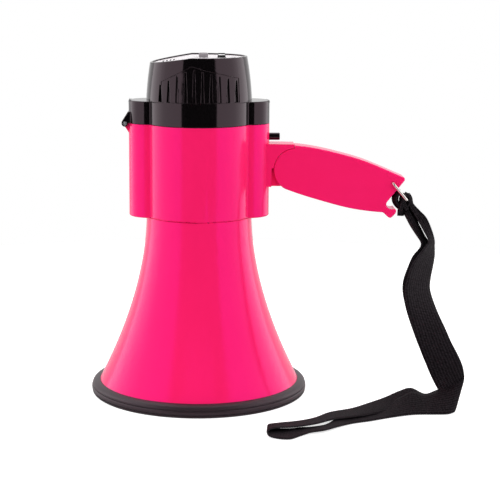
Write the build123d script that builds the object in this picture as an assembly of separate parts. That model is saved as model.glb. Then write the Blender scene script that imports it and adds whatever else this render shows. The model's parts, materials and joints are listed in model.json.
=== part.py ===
"""Handheld megaphone with a folding handle, standing on the mouth of its horn.

Millimetres. The origin is the centre of the horn's mouth, +Z runs up the horn's axis to the
rear cap, +X points to the handle. Every piece is a separate solid, written to parts/.
"""
from build123d import *
import math
import os

# ---- general fits and walls -------------------------------------------------------------
WALL = 2.2              # moulded wall of the housing, cap and handle
FIT = 0.2               # gap round a piece that drops into a shell
RUN = 0.06              # radial running clearance of pins and shafts
GAP = 0.3               # gap between faces of pieces that move past each other
SCREW_R = 1.3           # shank of the self-tapping screws
SCREW_HEAD_R = 2.5
SCREW_HEAD_H = 1.4

# ---- horn -------------------------------------------------------------------------------
MOUTH_R = 78.6          # outer radius of the bell at the mouth plane
NECK_R = 38.6           # outer radius where the bell meets the housing
HORN_TOP = 132.0        # height of the neck
FLARE = 1.8             # power of the flare
RIM_R = 80.0            # bumper rim, widest radius
RIM_H = 9.4             # bumper rim, height
RIM_FOOT = 2.0          # rubber under the bell's edge
SPIGOT_R = 36.4         # spigot that plugs into the housing
SPIGOT_WALL = 2.0
SPIGOT_H = 7.2          # above the neck

# ---- housing and rear cap ---------------------------------------------------------------
BODY_R = 38.9           # central barrel
LOBE_R = 16.6           # side lobes
LOBE_X = 34.6           # lobe centres
BODY_TOP = 199.8        # seam between housing and cap
SEAM = 0.2
SHOULDER_Z = 216.5      # top of the cap over the lobes
TOWER_TOP = 248.4       # level part of the cap's upper edge
TOWER_TOP_R = 35.2
TOWER_MID_R = 37.6
SLOPE_X = -5.5          # the upper edge slopes down to the hinge side from here
SLOPE = 0.156           # fall per millimetre
SIDE_STEP = 0.5         # the tower's sides are set in by this much
RECESS = 0.35           # depth of the vent field
CATCH_CLEAR = 1.0       # catch tongue inside the lobe opposite the hinge
CATCH_T = 1.8
CATCH_HALF = 3.5
CATCH_DROP = 3.8
VENT_DEPTH = 1.5        # the slots are blind
VENT_COUNT = 10
VENT_PITCH = 6.0
VENT_X0 = -27.6
VENT_W = 2.4            # slot width at its foot
VENT_TIP = 0.8          # slot width at its top
FIELD = [(-27.6, SHOULDER_Z + 0.5), (-27.0, 231.4), (-5.6, 242.6), (28.0, 234.0), (28.6, SHOULDER_Z + 0.5)]

# ---- cap hinge --------------------------------------------------------------------------
HINGE_X = -53.7
HINGE_Z = 199.8
HINGE_PIN_R = 1.0
CAP_LUG_R = 2.4
BODY_LUG_R = 2.0
LUG_IN = 3.3            # half width of the housing's middle knuckle
LUG_OUT = 7.0           # half width over the cap's knuckles

# ---- loudspeaker ------------------------------------------------------------------------
DRIVER_R = 36.2
GASKET_T = 0.8
FLANGE_T = 2.0
CONE_R = 26.0
ROLL_R = 29.6
COIL_R = 8.2
MAGNET_R = 19.0
SCREW_CIRCLE = 33.2

# ---- battery bay ------------------------------------------------------------------------
TRAY_Z = 160.0
TRAY_T = 2.0
CELL_R = 13.1
CELL_L = 50.0
CELL_NUB = 1.5
CELL_CLEAR = 0.3
CONTACT_H = 1.5         # working height of a leaf contact
CELLS = [(-LOBE_X, 0.0), (18.2, 0.0), (-6.1, 14.0), (-6.1, -14.0)]
SLEEVE_WALL = 0.9
SLEEVE_H = 14.0
DECK_T = 2.0
STRIP_T = 0.5

# ---- control panel ----------------------------------------------------------------------
PANEL_SINK = 1.0        # panel surface below the cap's upper edge
PANEL_T = 1.6
LEDGE_T = 1.6
LEDGE_W = 2.4
BOARD_Z = 236.0
BOARD_T = 1.6
BOARD_R = 32.0
WHEEL_X = 16.1
WHEEL_Y = -1.5
WHEEL_R = 7.0
WHEEL_W = 5.6
WHEEL_PROUD = 3.0
WHEEL_SHAFT_R = 1.2
KNOB_X = 3.0
KNOB_Y = -3.0
KNOB = (6.6, 8.0, 3.0)
KNOB_STEM = 3.0
KNOB_TRAVEL = 2.0       # each way
MIC_X = -22.0
MIC_HOLE_R = 0.6
MIC_PITCH = 2.6
MIC_R = 4.8
MIC_H = 3.2

# ---- talk button ------------------------------------------------------------------------
TALK_Z = 190.1
TALK_R = 2.65
TALK_END = 58.8
TALK_TRAVEL = 2.5
PLUNGER_R = 1.6

# ---- handle -----------------------------------------------------------------------------
PIVOT_X = 70.2
PIVOT_Z = 166.3
CHEEK_R = 15.8          # round end of the handle
GRIP_T = 17.7           # thickness of the handle and of the bracket
TONGUE_T = 8.0
TONGUE_R = 12.4
WASHER_T = 0.4
PIVOT_R = 2.5
BRACKET_TOP = 185.5
BRACKET_STEP = 167.6
BRACKET_BOTTOM = 154.0
BRACKET_END = 69.1      # tip of the bracket's upper block
EDGE_ROUND = 1.2
ROUND_FROM = 8.0         # only rims at least this long are rounded
HANDLE_TOP = [(85.8, 182.2), (101.7, 178.6), (117.7, 174.1), (133.7, 167.9)]
HANDLE_LOW = [(125.2, 136.0), (109.2, 138.5), (93.3, 142.6), (77.4, 147.3)]
HANDLE_WALL = 3.0
HANDLE_SCREWS = [(93.0, 164.0), (111.0, 158.5), (126.0, 152.0)]
EYE_X = 141.3           # eye for the ring
EYE_Z = 157.1

# ---- ring and strap ---------------------------------------------------------------------
WIRE_R = 1.0
RING_HALF = 11.0
BAR_X = 151.9
BAR_Z = 144.4
STRAP_W = 25.0
STRAP_T = 3.2           # two layers of webbing


def at_z(shape, z, x=0.0, y=0.0):
    """Place a shape whose base is on the XY plane."""
    return Pos(x, y, z) * shape


def rod(r, z0, z1, x=0.0, y=0.0):
    """Upright cylinder."""
    return Pos(x, y, z0) * Cylinder(r, z1 - z0, align=(Align.CENTER, Align.CENTER, Align.MIN))


def tube(r_out, r_in, z0, z1, x=0.0, y=0.0):
    """Upright tube."""
    return rod(r_out, z0, z1, x, y) - rod(r_in, z0 - 1, z1 + 1, x, y)


def rod_y(r, y0, y1, x, z):
    """Cylinder along Y."""
    return Pos(x, (y0 + y1) / 2, z) * Rot(90, 0, 0) * Cylinder(r, y1 - y0)


def rod_x(r, x0, x1, y, z):
    """Cylinder along X."""
    return Pos((x0 + x1) / 2, y, z) * Rot(0, 90, 0) * Cylinder(r, x1 - x0)


def block(x0, x1, y0, y1, z0, z1):
    """Box between two corners."""
    centre = ((x0 + x1) / 2, (y0 + y1) / 2, (z0 + z1) / 2)
    return Pos(*centre) * Box(x1 - x0, y1 - y0, z1 - z0)


def plate_xz(points, y0, y1):
    """Polygon drawn in the XZ plane, given a thickness along Y."""
    wire = Wire.make_polygon([(x, y0, z) for x, z in points], close=True)
    return extrude(Face(wire), amount=y1 - y0, dir=(0, 1, 0))


def plan(inset):
    """Outline of the housing: a barrel and two lobes, set in by a distance."""
    lobes = Pos(LOBE_X, 0) * Circle(LOBE_R - inset) + Pos(-LOBE_X, 0) * Circle(LOBE_R - inset)
    return Circle(BODY_R - inset) + lobes


def spun(points):
    """Solid of revolution from a closed polygon of (radius, height) points."""
    wire = Wire.make_polygon([(r, 0, z) for r, z in points], close=True)
    return revolve(Face(wire), axis=Axis.Z, revolution_arc=360)


def screw_z(x, y, z_head, length, up=True):
    """Screw along Z; the head's bearing face is at z_head and the shank points up or down."""
    way = 1 if up else -1
    shank = rod(SCREW_R, min(z_head, z_head + way * length), max(z_head, z_head + way * length), x, y)
    z_end = z_head - way * SCREW_HEAD_H
    head = rod(SCREW_HEAD_R, min(z_head, z_end), max(z_head, z_end), x, y)
    slot = block(x - SCREW_HEAD_R, x + SCREW_HEAD_R, y - 0.3, y + 0.3, z_end - 0.5, z_end + 0.5)
    return shank + head - slot


# ---- horn -------------------------------------------------------------------------------

def horn_radius(z):
    """Outer radius of the bell at a height."""
    return NECK_R + (MOUTH_R - NECK_R) * (1 - z / HORN_TOP) ** FLARE


def driver_bosses(r, z0, z1):
    """Four upright cylinders on the loudspeaker's screw circle."""
    turns = [math.radians(45 + 90 * i) for i in range(4)]
    return [rod(r, z0, z1, SCREW_CIRCLE * math.cos(a), SCREW_CIRCLE * math.sin(a)) for a in turns]


def horn_bell():
    """Flared bell with the spigot and screw bosses that carry the loudspeaker."""
    heights = [RIM_FOOT + (HORN_TOP - RIM_FOOT) * i / 9 for i in range(10)]
    outer = [(horn_radius(z), 0, z) for z in heights]
    inner = []
    for z in heights:
        slope = (horn_radius(z + 0.01) - horn_radius(z - 0.01)) / 0.02 if z < HORN_TOP - 1 else 0.0
        inner.append((horn_radius(z) - WALL * math.hypot(1, slope), 0, z))
    edges = [Spline(*outer), Line(outer[-1], inner[-1]), Spline(*inner[::-1]), Line(inner[0], outer[0])]
    bell = revolve(make_face(Wire(edges)), axis=Axis.Z, revolution_arc=360)
    seat = HORN_TOP + SPIGOT_H
    bell += tube(NECK_R - 0.8, SPIGOT_R - SPIGOT_WALL, HORN_TOP - 8, HORN_TOP)
    bell += tube(SPIGOT_R, SPIGOT_R - SPIGOT_WALL, HORN_TOP - 1, seat)
    for boss in driver_bosses(SCREW_R * 2, HORN_TOP - 6, seat):
        bell += boss
    for hole in driver_bosses(SCREW_R, HORN_TOP - 4, seat + 1):
        bell -= hole
    return bell


def rim_trim():
    """Rubber bumper that clips over the edge of the bell."""
    lip_r = horn_radius(RIM_H)
    foot_r = horn_radius(RIM_FOOT)
    profile = [
        (foot_r - WALL - 3.0, 0), (RIM_R - 1.4, 0), (RIM_R - 0.3, 1.6), (RIM_R - 0.7, 2.0),
        (RIM_R, 2.6), (RIM_R, 5.0), (RIM_R - 0.6, 5.4), (RIM_R - 0.5, 6.0), (RIM_R - 1.6, 7.6),
        (RIM_R - 3.4, 8.9), (RIM_R - 5.0, RIM_H), (lip_r, RIM_H), (foot_r - 3.0, RIM_H - 1.5),
        (foot_r - WALL - 3.0, 4.5),
    ]
    groove = horn_bell_groove()
    return spun(profile) - groove


def horn_bell_groove():
    """Space the bell's edge takes up inside the bumper."""
    heights = [RIM_FOOT + (RIM_H + 1 - RIM_FOOT) * i / 6 for i in range(7)]
    outer = [(horn_radius(z) + 0.03, z) for z in heights]
    inner = [(horn_radius(z) - WALL * 1.35, z) for z in heights[::-1]]
    return spun(outer + inner)


# ---- housing ----------------------------------------------------------------------------

def arc_lug(r, x_wall, z_low, z_high, y0, y1):
    """Hinge knuckle with an arm that reaches a wall."""
    outer = [(HINGE_X, HINGE_Z + r * 0.9), (HINGE_X - r * 0.95, HINGE_Z)]
    arm = plate_xz(outer + [(x_wall, z_low), (x_wall, z_high)], y0, y1)
    return rod_y(r, y0, y1, HINGE_X, HINGE_Z) + arm


def body_housing():
    """Pink barrel with its two side lobes, the driver bore and the hinge knuckle."""
    shell = extrude(plan(0), amount=BODY_TOP - HORN_TOP)
    bottom = shell.edges().group_by(Axis.Z)[0]
    shell = fillet(bottom, 1.2)
    shell = Pos(0, 0, HORN_TOP) * shell
    shell -= at_z(extrude(plan(WALL), amount=BODY_TOP), HORN_TOP + WALL)
    shell -= rod(BODY_R - WALL, HORN_TOP - 1, BODY_TOP)
    shell -= rod_x(TALK_R + RUN, LOBE_X, LOBE_X + LOBE_R + 5, 0, TALK_Z)
    for x in (TRAY_POST_X, -TRAY_POST_X):
        shell -= rod(SCREW_R, HORN_TOP - 1, HORN_TOP + WALL + 1, x)
        shell -= rod(SCREW_HEAD_R, HORN_TOP - 1, HORN_TOP + SCREW_HEAD_H, x)
    for z in BRACKET_SCREW_Z:
        shell -= rod_x(SCREW_R, LOBE_X, LOBE_X + LOBE_R + 5, 0, z)
    ribs = block(SWITCH_X0 + 2, SWITCH_X0 + 4, SWITCH_HALF, LOBE_R - 1, TALK_Z - 6, TALK_Z + 4)
    ribs += block(SWITCH_X0 + 2, SWITCH_X0 + 4, 1 - LOBE_R, -SWITCH_HALF, TALK_Z - 6, TALK_Z + 4)
    shell += ribs & at_z(extrude(plan(WALL / 2), amount=BODY_TOP), 0)
    knuckle = arc_lug(BODY_LUG_R, -LOBE_X - LOBE_R + 1.2, HINGE_Z - 8.4, HINGE_Z - 1.5, -LUG_IN, LUG_IN)
    knuckle -= at_z(extrude(plan(WALL / 2), amount=BODY_TOP), 0)
    shell += knuckle
    return shell - rod_y(HINGE_PIN_R + RUN, -LUG_OUT, LUG_OUT, HINGE_X, HINGE_Z)


# ---- loudspeaker ------------------------------------------------------------------------

SEAT_Z = HORN_TOP + SPIGOT_H
FLANGE_Z = SEAT_Z + GASKET_T
BASKET_Z = FLANGE_Z + FLANGE_T + 9.0        # underside of the magnet's front plate


def driver_gasket():
    """Foam ring under the loudspeaker's flange."""
    ring = tube(DRIVER_R, ROLL_R + 0.4, SEAT_Z, FLANGE_Z)
    for hole in driver_bosses(SCREW_R, SEAT_Z - 1, FLANGE_Z + 1):
        ring -= hole
    return ring


def driver_frame():
    """Pressed steel basket: flange, cone and four windows."""
    flange = tube(DRIVER_R, ROLL_R + 0.4, FLANGE_Z, FLANGE_Z + FLANGE_T)
    skin = spun([(ROLL_R + 0.4, FLANGE_Z + FLANGE_T - 1), (ROLL_R + 0.9, FLANGE_Z + FLANGE_T),
                 (MAGNET_R - 1.0, BASKET_Z), (COIL_R + 2.0, BASKET_Z), (COIL_R + 2.0, BASKET_Z - 1.2),
                 (MAGNET_R - 2.0, BASKET_Z - 1.2)])
    for i in range(4):
        window = block(MAGNET_R + 1.5, ROLL_R - 1, -8, 8, FLANGE_Z + FLANGE_T + 1.5, BASKET_Z - 1.5)
        skin -= Rot(0, 0, 90 * i) * window
    frame = flange + skin
    for hole in driver_bosses(SCREW_R, FLANGE_Z - 1, FLANGE_Z + FLANGE_T + 1):
        frame -= hole
    return frame


def driver_surround():
    """Rubber half-roll between cone and frame."""
    mid = (CONE_R + ROLL_R) / 2
    roll = Pos(0, 0, FLANGE_Z + 0.8) * Torus(mid, (ROLL_R - CONE_R) / 2 - 0.05)
    inner = Pos(0, 0, FLANGE_Z + 0.8) * Torus(mid, (ROLL_R - CONE_R) / 2 - 0.65)
    half = rod(ROLL_R + 1, FLANGE_Z - 5, FLANGE_Z + 0.8)
    return (roll - inner) & half


def driver_cone():
    """Paper cone and its neck."""
    z0 = FLANGE_Z + 0.85
    z1 = z0 + 6.4
    return spun([(CONE_R + 1.0, z0), (CONE_R + 1.0, z0 + 0.5), (CONE_R - 0.3, z0 + 0.5), (COIL_R + 0.5, z1),
                 (COIL_R + 0.05, z1), (COIL_R + 0.05, z1 - 0.6), (CONE_R - 0.6, z0)])


def voice_coil():
    """Coil former that runs in the magnet's gap."""
    return tube(COIL_R, COIL_R - 0.5, FLANGE_Z + 6.0, BASKET_Z + 3.0)


def dust_cap():
    """Shallow dome over the coil."""
    z0 = FLANGE_Z + 5.4
    return spun([(COIL_R, z0), (COIL_R, z0 + 0.55), (COIL_R * 0.5, z0 - 0.7), (0, z0 - 1.1),
                 (0, z0 - 1.6), (COIL_R * 0.55, z0 - 1.2)])


def front_plate():
    """Steel plate round the coil gap."""
    return tube(MAGNET_R - 1.0, COIL_R + 0.6, BASKET_Z, BASKET_Z + 2.0)


def driver_magnet():
    """Ring magnet."""
    return tube(MAGNET_R, COIL_R + 3.0, BASKET_Z + 2.0, BASKET_Z + 5.4)


def back_plate():
    """Steel back plate with the pole piece."""
    plate = rod(MAGNET_R - 1.0, BASKET_Z + 5.4, BASKET_Z + 7.2)
    return plate + rod(COIL_R - 1.0, BASKET_Z - 0.5, BASKET_Z + 5.5)


def driver_screws():
    """Four screws through the flange into the horn's bosses."""
    turns = [math.radians(45 + 90 * i) for i in range(4)]
    spots = [(SCREW_CIRCLE * math.cos(a), SCREW_CIRCLE * math.sin(a)) for a in turns]
    return [screw_z(x, y, FLANGE_Z + FLANGE_T, 10.0, up=False) for x, y in spots]


# ---- battery bay ------------------------------------------------------------------------

TRAY_POST_X = LOBE_X + 8.4
TRAY_POST_R = 4.0
CELL_Z = TRAY_Z + TRAY_T + CONTACT_H
DECK_Z = CELL_Z + CELL_L + STRIP_T + GAP


def battery_tray():
    """Floor of the battery bay with a sleeve for each cell and two posts."""
    inside = at_z(extrude(plan(WALL + FIT), amount=SLEEVE_H + TRAY_T), TRAY_Z)
    tray = at_z(extrude(plan(WALL + FIT), amount=TRAY_T), TRAY_Z)
    for x, y in CELLS:
        tray += rod(CELL_R + CELL_CLEAR + SLEEVE_WALL, TRAY_Z, TRAY_Z + TRAY_T + SLEEVE_H, x, y) & inside
    for x, y in CELLS:
        tray -= rod(CELL_R + CELL_CLEAR, TRAY_Z + TRAY_T, TRAY_Z + 40, x, y)
    for x in (TRAY_POST_X, -TRAY_POST_X):
        tray += rod(TRAY_POST_R, HORN_TOP + WALL, TRAY_Z, x)
        tray -= rod(SCREW_R, HORN_TOP, HORN_TOP + 12, x)
    return tray - rod(3.0, TRAY_Z - 1, TRAY_Z + TRAY_T + 1, LOBE_X, 8.0)


def battery_cell(x, y):
    """C cell with its positive button."""
    body = rod(CELL_R, CELL_Z, CELL_Z + CELL_L - CELL_NUB, x, y)
    return body + rod(3.3, CELL_Z + CELL_L - CELL_NUB, CELL_Z + CELL_L, x, y)


def tray_contacts():
    """Bowed leaf contacts under the cells."""
    z = TRAY_Z + TRAY_T
    leaf = [(-7, z), (-7, z + 0.4), (-2.6, z + CONTACT_H), (2.6, z + CONTACT_H), (7, z + 0.4), (7, z),
            (6.4, z), (2.4, z + CONTACT_H - 0.4), (-2.4, z + CONTACT_H - 0.4), (-6.4, z)]
    return [Pos(x, y, 0) * plate_xz(leaf, -4.0, 4.0) for x, y in CELLS]


def tray_screws():
    """Screws up through the lobes' floors into the tray's posts."""
    return [screw_z(x, 0, HORN_TOP + SCREW_HEAD_H, 9.0) for x in (TRAY_POST_X, -TRAY_POST_X)]


# ---- rear cap ---------------------------------------------------------------------------

def tower(inset):
    """Round tower of the cap, before its upper edge is cut."""
    start = SHOULDER_Z - 4
    top = TOWER_TOP + 4
    foot = (BODY_R - inset, 0, start)
    head = (TOWER_TOP_R - inset - 0.6, 0, top)
    middle = (TOWER_MID_R - inset, 0, (SHOULDER_Z + TOWER_TOP) / 2)
    side = ThreePointArc((BODY_R - inset, 0, SHOULDER_Z), middle, (TOWER_TOP_R - inset, 0, TOWER_TOP))
    lower = [Line((0, 0, start), foot), Line(foot, side @ 0)]
    upper = [Line(side @ 1, head), Line(head, (0, 0, top)), Line((0, 0, top), (0, 0, start))]
    return revolve(make_face(Wire(lower + [side] + upper)), axis=Axis.Z, revolution_arc=360)


def under_roof(drop):
    """Everything below the cap's upper edge lowered by a distance."""
    far = 60.0
    z = TOWER_TOP - drop
    floor = HORN_TOP + 18.0
    low = z - SLOPE * (far + SLOPE_X)
    return plate_xz([(-far, floor), (far, floor), (far, z), (SLOPE_X, z), (-far, low)], -far, far)


def field_top(x):
    """Height of the vent field's outline."""
    (x0, z0), (xm, zm), (x1, z1) = FIELD[1:4]
    if x < xm:
        return z0 + (zm - z0) * (x - x0) / (xm - x0)
    return zm + (z1 - zm) * (x - xm) / (x1 - xm)


def vent_slots():
    """Tapered slots in the front and the back of the tower."""
    slots = []
    for i in range(VENT_COUNT):
        x = VENT_X0 + VENT_PITCH * i
        foot = SHOULDER_Z + 0.8
        tip = field_top(x) - 2.0
        wide = VENT_W / 2
        narrow = VENT_TIP / 2
        shape = [(x - wide, foot), (x + wide, foot), (x + narrow, tip), (x - narrow, tip)]
        slots.append(plate_xz(shape, -BODY_R - 2, -22))
        slots.append(plate_xz(shape, 22, BODY_R + 2))
    return slots


def cap_lugs():
    """Two outer knuckles of the cap hinge."""
    x_in = -LOBE_X - LOBE_R + 2.0
    lugs = []
    for y0, y1 in ((-LUG_OUT, -LUG_IN - GAP), (LUG_IN + GAP, LUG_OUT)):
        top = [(x_in, HINGE_Z + 8.6), (-51.4, HINGE_Z + 8.4), (HINGE_X - CAP_LUG_R, HINGE_Z + 1.0)]
        low = [(HINGE_X, HINGE_Z), (HINGE_X + 1.2, HINGE_Z + SEAM + 0.1), (x_in, HINGE_Z + SEAM + 0.1)]
        arm = plate_xz(top + low, y0, y1)
        lugs.append(arm + rod_y(CAP_LUG_R, y0, y1, HINGE_X, HINGE_Z))
    return lugs


def rear_cap():
    """Glossy rear cap: skirt over the lobes, tower, vents, hinge knuckles and catch."""
    skirt_z = BODY_TOP + SEAM
    skirt = at_z(extrude(plan(0), amount=SHOULDER_Z - skirt_z), skirt_z)
    skirt = fillet(skirt.edges().group_by(Axis.Z)[-1], 0.8)
    band = block(-60, 60, -LOBE_R, LOBE_R, SHOULDER_Z, TOWER_TOP + 5)
    outer = (tower(0) - band) + (tower(SIDE_STEP) & band)
    field = plate_xz(FIELD, -BODY_R - 2, BODY_R + 2)
    outer -= (tower(0) - tower(RECESS)) & field
    cap = skirt + (outer & under_roof(0))
    seat = PANEL_SINK + PANEL_T
    ledge = (tower(WALL) - tower(WALL + LEDGE_W)) & (under_roof(seat) - under_roof(seat + LEDGE_T))
    cavity = tower(WALL) + rod(BODY_R - WALL, skirt_z - 1, SHOULDER_Z + 0.1)
    cap -= cavity - ledge
    cap -= at_z(extrude(plan(WALL), amount=DECK_Z - skirt_z + 1), skirt_z - 1)
    for x, y in deck_screw_spots():
        z0 = DECK_Z + DECK_T
        out = x * 1.16
        boss = rod(3.0, z0, z0 + 9.0, x, y) + block(min(x, out), max(x, out), y - 1, y + 1, z0, z0 + 9.0)
        cap += boss & tower(WALL / 2)
        cap -= rod(SCREW_R, DECK_Z, DECK_Z + DECK_T + 8.0, x, y)
    skin = tower(0) - tower(VENT_DEPTH)
    for slot in vent_slots():
        cap -= slot & skin
    for lug in cap_lugs():
        cap += lug - at_z(extrude(plan(WALL / 2), amount=40), skirt_z - 1)
    catch_x = LOBE_X + LOBE_R - WALL - CATCH_CLEAR
    cap += block(catch_x - CATCH_T, catch_x, -CATCH_HALF, CATCH_HALF, BODY_TOP - CATCH_DROP, DECK_Z + 0.2)
    return cap - rod_y(HINGE_PIN_R, -LUG_OUT - 1, LUG_OUT + 1, HINGE_X, HINGE_Z)


def hinge_pin():
    """Steel pin of the cap's hinge, with a flat head at one end."""
    pin = rod_y(HINGE_PIN_R, -LUG_OUT - 0.4, LUG_OUT + 0.4, HINGE_X, HINGE_Z)
    return pin + rod_y(HINGE_PIN_R + 0.4, -LUG_OUT - 0.8, -LUG_OUT, HINGE_X, HINGE_Z)


def deck_screw_spots():
    """Screw positions of the contact deck, clear of the vents."""
    r = BODY_R - WALL - 3.6
    x = r * math.cos(math.radians(20))
    y = r * math.sin(math.radians(20))
    return [(x, y), (x, -y), (-x, y), (-x, -y)]


def cap_deck():
    """Partition that closes the cap over the battery bay."""
    deck = rod(BODY_R - WALL - FIT, DECK_Z, DECK_Z + DECK_T)
    for x, y in deck_screw_spots():
        deck -= rod(SCREW_R, DECK_Z - 1, DECK_Z + DECK_T + 1, x, y)
        deck -= rod(SCREW_HEAD_R, DECK_Z - 1, DECK_Z + 1.0, x, y)
    return deck - rod(3.5, DECK_Z - 1, DECK_Z + DECK_T + 1, 31.0, 0)


def deck_screws():
    """Screws up through the deck into the cap's bosses, heads sunk in the deck."""
    screws = []
    for x, y in deck_screw_spots():
        shank = rod(SCREW_R, DECK_Z + 0.9, DECK_Z + DECK_T + 7.0, x, y)
        screws.append(shank + rod(SCREW_HEAD_R, DECK_Z + 0.05, DECK_Z + 1.0, x, y))
    return screws


def deck_contacts():
    """Two strips that join the cells in pairs."""
    strips = []
    for (xa, ya), (xb, yb) in ((CELLS[0], CELLS[2]), (CELLS[1], CELLS[3])):
        length = math.hypot(xb - xa, yb - ya) + 7.0
        turn = math.degrees(math.atan2(yb - ya, xb - xa))
        strip = Rot(0, 0, turn) * Box(length, 7.0, STRIP_T, align=(Align.CENTER, Align.CENTER, Align.MAX))
        strips.append(Pos((xa + xb) / 2, (ya + yb) / 2, DECK_Z) * strip)
    return strips


# ---- control panel ----------------------------------------------------------------------

PANEL_Z = TOWER_TOP - PANEL_SINK
PANEL_UNDER = PANEL_Z - PANEL_T
BOARD_TOP = BOARD_Z + BOARD_T
WHEEL_Z = PANEL_Z + WHEEL_PROUD - WHEEL_R
BOARD_SCREWS = [(-8.0, 24.0), (-8.0, -24.0), (24.0, 12.0), (24.0, -12.0)]
BOSS_R = 2.6


def mic_holes():
    """Grid of sound holes over the microphone."""
    rows = range(-2, 3)
    columns = [-1.5, -0.5, 0.5, 1.5]
    return [(MIC_X + MIC_PITCH * i, MIC_PITCH * j) for i in columns for j in rows]


def control_panel():
    """Silver panel in the top of the cap, bent where the cap's edge bends."""
    panel = tower(WALL + FIT) & (under_roof(PANEL_SINK) - under_roof(PANEL_SINK + PANEL_T))
    for x, y in BOARD_SCREWS:
        head = rod(BOSS_R, PANEL_UNDER - 2, PANEL_Z, x, y) & under_roof(PANEL_SINK + 0.5)
        panel += rod(BOSS_R, BOARD_TOP, PANEL_UNDER - 1.5, x, y) + head
        panel -= rod(SCREW_R, BOARD_TOP - 1, BOARD_TOP + 5, x, y)
    reach = math.sqrt(WHEEL_R ** 2 - (WHEEL_R - WHEEL_PROUD - PANEL_T) ** 2 + 4) + GAP
    half = WHEEL_W / 2 + GAP
    low = PANEL_UNDER - 1
    high = PANEL_Z + 1
    panel -= block(WHEEL_X - half, WHEEL_X + half, WHEEL_Y - reach, WHEEL_Y + reach, low, high)
    stem = KNOB_STEM / 2 + GAP
    slide = stem + KNOB_TRAVEL
    panel -= block(KNOB_X - stem, KNOB_X + stem, KNOB_Y - slide, KNOB_Y + slide, low, high)
    for x, y in mic_holes():
        panel -= rod(MIC_HOLE_R, BOARD_TOP, PANEL_Z + 1, x, y)
    return panel


def circuit_board():
    """Round board screwed to the panel's bosses."""
    board = rod(BOARD_R, BOARD_Z, BOARD_TOP)
    dip = math.sqrt(WHEEL_R ** 2 - (WHEEL_Z - BOARD_TOP) ** 2) + 0.6
    board -= block(WHEEL_X - WHEEL_W / 2 - 0.6, WHEEL_X + WHEEL_W / 2 + 0.6, WHEEL_Y - dip, WHEEL_Y + dip,
                   BOARD_Z - 1, BOARD_TOP + 1)
    for x, y in BOARD_SCREWS:
        board -= rod(SCREW_R, BOARD_Z - 1, BOARD_TOP + 1, x, y)
    return board


def board_screws():
    """Screws from below the board into the panel's bosses."""
    return [screw_z(x, y, BOARD_Z, 5.0) for x, y in BOARD_SCREWS]


def volume_wheel():
    """Thumbwheel with a ribbed edge, its axis along X."""
    x0 = WHEEL_X - WHEEL_W / 2
    x1 = WHEEL_X + WHEEL_W / 2
    wheel = rod_x(WHEEL_R, x0, x1, WHEEL_Y, WHEEL_Z)
    count = 20
    for i in range(count):
        a = 2 * math.pi * (i + 0.5) / count
        y = WHEEL_Y + WHEEL_R * math.cos(a)
        z = WHEEL_Z + WHEEL_R * math.sin(a)
        wheel -= rod_x(0.35, x0 - 1, x1 + 1, y, z)
    return wheel - rod_x(WHEEL_SHAFT_R, x0 - 1, x1 + 1, WHEEL_Y, WHEEL_Z)


def volume_shaft():
    """Spindle of the volume wheel."""
    return rod_x(WHEEL_SHAFT_R, WHEEL_X - WHEEL_W / 2, WHEEL_X + WHEEL_W / 2 + 5.0, WHEEL_Y, WHEEL_Z)


def volume_pot():
    """Potentiometer beside the wheel."""
    x0 = WHEEL_X + WHEEL_W / 2 + 0.6
    body = block(x0, x0 + 5.0, WHEEL_Y - 5, WHEEL_Y + 5, BOARD_TOP, PANEL_UNDER - 0.4)
    return body - rod_x(WHEEL_SHAFT_R + RUN, x0 - 1, x0 + 4.8, WHEEL_Y, WHEEL_Z)


def mode_knob():
    """Slide knob with a stem through the panel."""
    width, length, height = KNOB
    z0 = PANEL_Z + 0.2
    wide = width / 2
    long = length / 2
    cap = block(KNOB_X - wide, KNOB_X + wide, KNOB_Y - long, KNOB_Y + long, z0, z0 + height)
    cap = chamfer(cap.edges().group_by(Axis.Z)[-1], 0.6)
    half = KNOB_STEM / 2
    return cap + block(KNOB_X - half, KNOB_X + half, KNOB_Y - half, KNOB_Y + half, PANEL_UNDER - 1.6, z0)


def mode_switch():
    """Slide switch body under the knob."""
    wide = 4.0
    long = 7.5
    top = PANEL_UNDER - 0.3
    body = block(KNOB_X - wide, KNOB_X + wide, KNOB_Y - long, KNOB_Y + long, BOARD_TOP, top)
    stem = KNOB_STEM / 2 + GAP
    slide = stem + KNOB_TRAVEL
    slot = block(KNOB_X - stem, KNOB_X + stem, KNOB_Y - slide, KNOB_Y + slide, top - 1.9, PANEL_UNDER)
    return body - slot


def mic_capsule():
    """Electret microphone."""
    return rod(MIC_R, BOARD_TOP + 0.4, BOARD_TOP + MIC_H, MIC_X)


def mic_boot():
    """Rubber ring that holds the microphone."""
    return tube(MIC_R + 1.6, MIC_R, BOARD_TOP, BOARD_TOP + MIC_H, MIC_X)


def mic_foam():
    """Foam disc between the microphone and its sound holes."""
    return rod(MIC_R + 1.2, BOARD_TOP + MIC_H, BOARD_TOP + MIC_H + 1.0, MIC_X)


def amplifier_chip():
    """Power amplifier with its heat tab, under the board."""
    return block(-6, 6, 8, 11, BOARD_Z - 12, BOARD_Z) + block(-6, 6, 11, 12.2, BOARD_Z - 17, BOARD_Z - 2)


def capacitors():
    """Three electrolytic capacitors under the board."""
    return [rod(4.0, BOARD_Z - 11, BOARD_Z, x, y) for x, y in ((-16.0, -8.0), (-6.0, -9.0), (5.0, -10.0))]


# ---- talk button ------------------------------------------------------------------------

SWITCH_X0 = 36.4
SWITCH_HALF = 5.0
LOBE_WALL_X = LOBE_X + LOBE_R - WALL        # inner face of the lobe's wall
BUTTON_FLANGE_X = LOBE_WALL_X - 0.7
SWITCH_X1 = BUTTON_FLANGE_X - 1.2 - TALK_TRAVEL - 0.4
BRACKET_SCREW_Z = (166.0, 179.0)


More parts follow.
